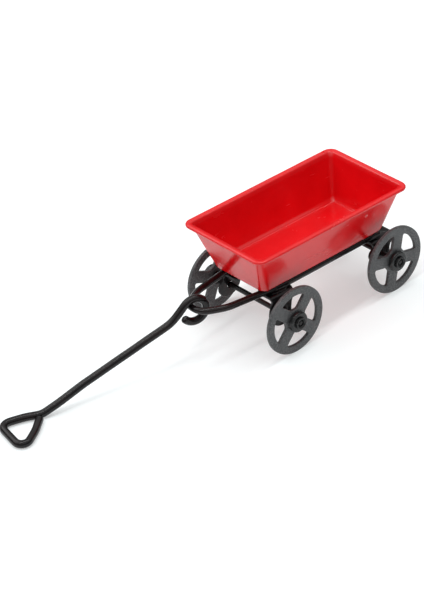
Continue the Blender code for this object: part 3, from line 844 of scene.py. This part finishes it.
def make_chassis():
    half = [
        (Vector((REAR_AXLE_ALONG - RAIL_TAIL, RAIL_HALF_GAUGE, 0)), 0.0),
        (Vector((-YOKE_START, RAIL_HALF_GAUGE, 0)), RAIL_BEND),
        (Vector((YOKE_SHOULDER, YOKE_SHOULDER_HALF_WIDTH, 0)), YOKE_SHOULDER_BEND),
        (Vector((YOKE_REACH, YOKE_TIP_HALF_WIDTH, 0)), YOKE_TIP_BEND),
    ]
    mirrored = [(Vector((point.x, -point.y, 0)), radius) for point, radius in half[::-1]]
    points = soften_path(even_path(bent_path(half + mirrored), 0.6 * MM), 2)
    place = LEAN_FRAME @ Matrix.Translation((0, 0, RAIL_CENTRE))
    piece = wire_piece("rails_and_yoke", points, RAIL_RADIUS, 0.05, 1.7, place)
    fit_piece(piece, "wagon", ["chassis_wire"], WIRE_BLACK)


def make_bracket(end, side, side_name, along, axle_drop, setback):
    """A strip that lies under the rail and is bent down into a round-ended ear."""
    bend = BEND_RADIUS + BRACKET_THICKNESS / 2
    flat_end = RAIL_HALF_GAUGE + BEND_REACH - BRACKET_THICKNESS / 2 - bend
    turn = math.pi / 2 - EAR_SPLAY
    bend_end = flat_end + bend * turn
    flange_middle = FLANGE_TOP - BRACKET_THICKNESS / 2
    ear_length = (axle_drop + flange_middle - bend * (1 - math.cos(turn))) / math.cos(EAR_SPLAY)
    axle_at = bend_end + ear_length

    def place_point(x, v, height):
        """v is how far along the strip a point is, from the wagon's middle plane."""
        if v <= flat_end:
            return Vector((x, side * v, flange_middle + height))
        angle = min((v - flat_end) / bend, turn)
        y = flat_end + (bend + height) * math.sin(angle)
        z = flange_middle - bend + (bend + height) * math.cos(angle)
        rest = max(0.0, v - bend_end)
        return Vector((x, side * (y + rest * math.cos(turn)), z - rest * math.sin(turn)))

    # Stations along the strip are (how far along, half width, middle).
    stations = []
    corner_steps = 6
    for k in range(corner_steps + 1):
        angle = math.pi / 2 * k / corner_steps
        half_width = FLANGE_WIDTH / 2 - FLANGE_CORNER * (1 - math.sin(angle))
        stations.append((FLANGE_INNER_END + FLANGE_CORNER * (1 - math.cos(angle)), half_width, -setback))
    for k in range(1, 4):
        v = FLANGE_INNER_END + FLANGE_CORNER
        stations.append((v + (flat_end - v) * k / 3, FLANGE_WIDTH / 2, -setback))
    first_fold = len(stations) - 1
    bend_steps = 10
    for k in range(1, bend_steps + 1):
        share = k / bend_steps
        half_width = (FLANGE_WIDTH + (EAR_WIDTH - FLANGE_WIDTH) * share) / 2
        stations.append((flat_end + (bend_end - flat_end) * share, half_width, -setback))
    last_fold = len(stations) - 1
    ear_steps = 4
    for k in range(1, ear_steps):
        share = k / ear_steps
        stations.append((bend_end + (ear_length - 0.6 * MM) * share, EAR_WIDTH / 2, -setback * (1 - share)))
    front = [(middle + half_width, v) for v, half_width, middle in stations]
    back = [(middle - half_width, v) for v, half_width, middle in stations]
    tip = []
    for k in range(17):
        angle = math.pi * k / 16
        tip.append((EAR_WIDTH / 2 * math.cos(angle), axle_at + EAR_WIDTH / 2 * math.sin(angle)))
    outline = front + tip + back[::-1]
    folds = [(k, len(outline) - 1 - k) for k in range(first_fold, last_fold + 1)]
    hole = circle_points(WHEEL_BORE, EAR_HOLE_STEPS, axle_at)
    name = f"{end}_{side_name}_bracket"
    place = LEAN_FRAME @ Matrix.Translation((along, 0, 0))
    piece = stamped_piece(
        name + "_strip", [outline, hole], folds, BRACKET_THICKNESS, BRACKET_EDGE, place_point, place
    )
    fit_piece(piece, "wagon", [name], STRIP_BLACK)


def braze_blob(name, centre, size, seed):
    """A small smooth lump of braze under the paint."""
    bm = bmesh.new()
    bmesh.ops.create_icosphere(bm, subdivisions=3, radius=1.0)
    for vert in bm.verts:
        swell = 1 + 0.18 * noise.noise(vert.co * 1.3 + Vector((seed, 0, 0)))
        vert.co = Vector((vert.co.x * size[0], vert.co.y * size[1], vert.co.z * size[2])) * swell
    piece = finish_mesh(name, bm, LEAN_FRAME @ Matrix.Translation(centre))
    fit_piece(piece, "wagon", [], WIRE_BLACK)


def make_brazing():
    """Braze where the rails cross the brackets, and the seams that hold the tray on the rails."""
    for end, along, _, setback in AXLE_PLACES:
        for side, side_name in SIDES:
            centre = Vector((along - setback, side * RAIL_HALF_GAUGE, FLANGE_TOP + 0.1 * MM))
            size = (2.9 * MM, 0.95 * MM, 0.5 * MM)
            braze_blob(f"{end}_{side_name}_braze", centre, size, along / MM + side)
    for side, side_name in SIDES:
        points = []
        for k in range(61):
            x = -RIM_SETBACK - FLOOR_SETBACK + TRAY_FLOOR_LENGTH * 0.46 * (2 * k / 60 - 1)
            wander = 0.12 * MM * noise.noise(Vector((k / 4, side * 5.0, 0)))
            points.append(Vector((x, side * (RAIL_HALF_GAUGE - 0.35 * MM) + wander, -0.22 * MM)))
        piece = wire_piece(f"{side_name}_tray_seam", points, 0.42 * MM, 0.3, 5.0 + side, LEAN_FRAME, sides=14)
        fit_piece(piece, "wagon", [], WIRE_BLACK)


# ---------------------------------------------------------------- wheels and hubs


def window_outline(start_angle):
    """One opening between two spokes; its corners are soft."""
    half = SPOKE_WIDTH / 2
    quarter = 2 * math.pi / SPOKES

    def polar(radius, angle):
        return Vector((radius * math.cos(angle), radius * math.sin(angle), 0))

    outer_margin = math.asin(half / WINDOW_OUTER_RADIUS)
    inner_margin = math.asin(half / WINDOW_INNER_RADIUS)
    outer = [
        polar(WINDOW_OUTER_RADIUS, outer_margin + (quarter - 2 * outer_margin) * k / 14) for k in range(15)
    ]
    inner = [
        polar(WINDOW_INNER_RADIUS, quarter - inner_margin - (quarter - 2 * inner_margin) * k / 4)
        for k in range(5)
    ]
    points = []
    corners = outer + inner
    sharp = {0, 14, 15, 19}
    for k, here in enumerate(corners):
        if k in sharp:
            before = corners[k - 1]
            after = corners[(k + 1) % len(corners)]
            reach = WINDOW_CORNER
            start = here + (before - here).normalized() * min(reach, (before - here).length * 0.9)
            stop = here + (after - here).normalized() * min(reach, (after - here).length * 0.9)
            for n in range(6):
                t = n / 5
                points.append(start * (1 - t) ** 2 + here * 2 * t * (1 - t) + stop * t**2)
        else:
            points.append(here)
    turn = Matrix.Rotation(start_angle, 3, "Z")
    return [tuple((turn @ point)[:2]) for point in points]


def make_wheel(end, side, side_name, axle, spoke_angle):
    outlines = [circle_points(WHEEL_RADIUS, WHEEL_STEPS)]
    outlines += [window_outline(spoke_angle + 2 * math.pi * k / SPOKES) for k in range(SPOKES)]
    outlines.append(circle_points(WHEEL_BORE, BORE_STEPS))
    middle = side * (WHEEL_OUTER_FACE - WHEEL_THICKNESS / 2)

    def place_point(x, z, height):
        return axle + Vector((x, middle + height, z))

    body = f"{end}_{side_name}_wheel"
    piece = stamped_piece(body + "_disc", outlines, [], WHEEL_THICKNESS, WHEEL_EDGE, place_point)
    fit_piece(piece, body, [body], WHEEL_GREY)


def ring_piece(name, node, inner, outer, span, side, axle, rounding):
    low, high = (side * y for y in span)
    corners = [
        (inner, low, 0.0),
        (outer, low, rounding * 0.6),
        (outer, high, rounding),
        (inner, high, rounding * 0.4),
    ]
    piece = turned_piece(name, rounded_profile(corners), Matrix.Translation(axle))
    fit_piece(piece, "wagon", [node], HUB_BLACK)


def make_hub(end, side, side_name, axle):
    node = f"{end}_{side_name}_"
    ring_piece(
        node + "hub_washer", node + "outer_washer", WHEEL_BORE, OUTER_WASHER_RADIUS, OUTER_WASHER_SPAN,
        side, axle, 0.5 * MM,
    )
    ring_piece(
        node + "spacer", node + "inner_washer", WHEEL_BORE, INNER_WASHER_RADIUS, INNER_WASHER_SPAN,
        side, axle, 0.15 * MM,
    )
    low, high = COLLAR_SPAN
    corners = [
        (COLLAR_BORE, low, 0.0),
        (COLLAR_RADIUS, low, 0.08 * MM),
        (COLLAR_RADIUS, high, 0.2 * MM),
        (1.36 * MM, high, 0.12 * MM),
        (1.18 * MM, high - 0.3 * MM, 0.06 * MM),
        (COLLAR_BORE, high - 0.38 * MM, 0.0),
    ]
    corners = [(radius, side * y, rounding) for radius, y, rounding in corners]
    piece = turned_piece(node + "hub_collar", rounded_profile(corners), Matrix.Translation(axle))
    fit_piece(piece, "wagon", [node + "axle_collar"], HUB_BLACK)


def make_axle(end, axle):
    """A plain wire axle with domed, slightly spread ends."""
    points = []
    steps = 44
    for k in range(steps + 1):
        points.append(Vector((0, -AXLE_END + 2 * AXLE_END * k / steps, 0)))
    piece = wire_piece(end + "_axle_wire", points, AXLE_RADIUS, 0.04, 8.0, Matrix.Translation(axle))
    fit_piece(piece, "wagon", [end + "_axle"], AXLE_BLACK)


# ---------------------------------------------------------------- the handle


def handle_points(floor_below):
    """The middle of the handle's wire; x runs along the rod, and 0 is the middle of the yoke's wire."""
    eye_offset = EYE_RADIUS - HANDLE_RADIUS - RAIL_RADIUS - SEAT_GAP
    eye_x = eye_offset * math.cos(EYE_HANG_ANGLE)
    eye_z = eye_offset * math.sin(EYE_HANG_ANGLE)
    root_z = HANDLE_RADIUS - floor_below
    slope = math.asin(root_z / ROD_LENGTH)
    root = Vector((ROD_LENGTH * math.cos(slope), 0, root_z))
    across = Vector((-math.sin(slope), 0, math.cos(slope)))
    crank = root.normalized() * ROD_CRANK - across * ROD_CRANK_DROP
    reach_x, reach_z = crank.x - eye_x, crank.z - eye_z
    reach = math.hypot(reach_x, reach_z)
    tangent = math.atan2(reach_z, reach_x) + math.acos(EYE_RADIUS / reach)
    turn = 2 * math.pi - (tangent - EYE_END_ANGLE)
    pieces = math.ceil(turn / math.radians(7))
    points = []
    for k in range(pieces + 1):
        angle = EYE_END_ANGLE - turn * k / pieces
        points.append(Vector((eye_x + EYE_RADIUS * math.cos(angle), 0, eye_z + EYE_RADIUS * math.sin(angle))))
    right = root + Vector((GRIP_LENGTH, -GRIP_RIGHT, 0))
    left = root + Vector((GRIP_LENGTH - GRIP_LEFT_SETBACK, GRIP_LEFT, 0))
    side_angle = (right - root).angle(left - root)
    # The free end butts against the wire it comes back to, and the paint closes the joint.
    free = HANDLE_RADIUS * (0.75 + math.cos(side_angle)) / math.sin(side_angle)
    free_end = root + (left - root).normalized() * free
    limb = (free_end - left).normalized()
    bulge = Vector((limb.y, -limb.x, 0)) * GRIP_BOW
    corners = [(points.pop(), 0.0), (crank, ROD_CRANK_BEND)]
    for share, off in ROD_WAVES:
        corners.append((crank.lerp(root, share) + across * off, ROD_WAVE_BEND))
    corners += [
        (root, GRIP_ROOT_BEND),
        (root.lerp(right, 0.36) - Vector((0, GRIP_BOW, 0)), GRIP_BOW_BEND),
        (right, GRIP_RIGHT_BEND),
        (left, GRIP_LEFT_BEND),
        (left.lerp(free_end, 0.64) + bulge, GRIP_BOW_BEND),
        (free_end, 0.0),
    ]
    return points + bent_path(corners)


def make_handle():
    joint = next(joint for joint in frame["joints"] if joint["name"] == "handle_lift")
    hinge = Vector(joint["pos_m"])
    place = Matrix.Translation(hinge) @ Matrix.Rotation(HANDLE_SWING, 4, "Z")
    points = soften_path(even_path(handle_points(hinge.z), 0.5 * MM), 2)
    piece = wire_piece("handle_wire", points, HANDLE_RADIUS, 0.05, 3.3, place)
    fit_piece(piece, "handle", ["pull_handle"], HANDLE_BLACK)


# ---------------------------------------------------------------- floor, light and camera

FLOOR_REACH = 6.0  # from the middle of the studio floor to its edges
FLOOR_GLOW = 0.39  # keeps the floor white and the shadows on it pale
# The sky's strength, by the sine of the elevation: weak below the first, full above the second
HORIZON_TOP = 0.30
SKY_BOTTOM = 0.55
HORIZON_STRENGTH = 0.09
SKY_STRENGTH = 0.86
# Softboxes: name, place, width, depth, power in watts
SOFTBOXES = (
    ("right_panel", (0.28, -0.62, 0.80), 1.2, 0.7, 4.2),
    ("overhead_strip", (0.0, 0.05, 0.95), 1.3, 0.07, 4.2),
)
CAMERA_PLACE = (0.3911, 0.4885, 0.4524)
CAMERA_RIGHT = (-0.7381, 0.6692, -0.0862)
CAMERA_UP = (-0.4370, -0.3769, 0.8167)
CAMERA_LENS = 170.12
CAMERA_SENSOR = 36.0


def make_stage():
    bm = bmesh.new()
    corners = ((-1, -1), (1, -1), (1, 1), (-1, 1))
    bm.faces.new([bm.verts.new((x * FLOOR_REACH, y * FLOOR_REACH, 0)) for x, y in corners])
    floor = finish_mesh("studio_floor", bm)
    material, _, shader, _ = new_material(
        "studio_floor_white", Roughness=0.9, Specular_IOR_Level=0.1, Emission_Strength=FLOOR_GLOW
    )
    shader.inputs["Base Color"].default_value = (0.61, 0.655, 0.66, 1.0)
    shader.inputs["Emission Color"].default_value = (1.0, 1.0, 1.0, 1.0)
    floor.data.materials.append(material)


def add_softbox(name, place, width, depth, power):
    """A rectangular lamp that faces the middle of the floor."""
    light = bpy.data.lights.new(name, "AREA")
    light.shape = "RECTANGLE"
    light.size = width
    light.size_y = depth
    light.energy = power
    thing = bpy.data.objects.new(name, light)
    bpy.context.scene.collection.objects.link(thing)
    thing.location = place
    thing.rotation_euler = (-Vector(place)).to_track_quat("-Z", "Y").to_euler()


def make_light():
    """A sky that is weak near the horizon, a panel to the wagon's right and a thin strip overhead."""
    world = bpy.data.worlds.new("studio")
    world.use_nodes = True
    tree = world.node_tree
    background = tree.nodes["Background"]
    background.inputs["Color"].default_value = (1.0, 1.0, 1.0, 1.0)
    direction = tree.nodes.new("ShaderNodeTexCoord")
    parts = tree.nodes.new("ShaderNodeSeparateXYZ")
    tree.links.new(direction.outputs["Generated"], parts.inputs[0])
    glow = spread(tree, parts.outputs[2], HORIZON_TOP, SKY_BOTTOM, HORIZON_STRENGTH, SKY_STRENGTH)
    tree.links.new(glow, background.inputs["Strength"])
    bpy.context.scene.world = world
    for softbox in SOFTBOXES:
        add_softbox(*softbox)
    bpy.context.scene.view_settings.view_transform = "Standard"


def make_camera():
    camera = bpy.data.cameras.new("camera")
    camera.lens = CAMERA_LENS
    camera.sensor_width = CAMERA_SENSOR
    camera.clip_start = 0.01
    camera.clip_end = 20.0
    thing = bpy.data.objects.new("camera", camera)
    bpy.context.scene.collection.objects.link(thing)
    right = Vector(CAMERA_RIGHT)
    up = Vector(CAMERA_UP)
    turn = Matrix((right, up, right.cross(up))).transposed().to_4x4()
    thing.matrix_world = Matrix.Translation(CAMERA_PLACE) @ turn
    bpy.context.scene.camera = thing


# ---------------------------------------------------------------- the whole picture


make_tray()
make_chassis()
for end_name, along_rails, drop, flange_setback in AXLE_PLACES:
    for side_sign, which_side in SIDES:
        make_bracket(end_name, side_sign, which_side, along_rails, drop, flange_setback)
make_brazing()
for end_name, axle_middle in (("front", FRONT_AXLE), ("rear", REAR_AXLE)):
    make_axle(end_name, axle_middle)
    for side_sign, which_side in SIDES:
        make_wheel(end_name, side_sign, which_side, axle_middle, SPOKE_ANGLES[end_name, which_side])
        make_hub(end_name, side_sign, which_side, axle_middle)
make_handle()
make_stage()
make_light()
make_camera()

bpy.context.view_layer.update()
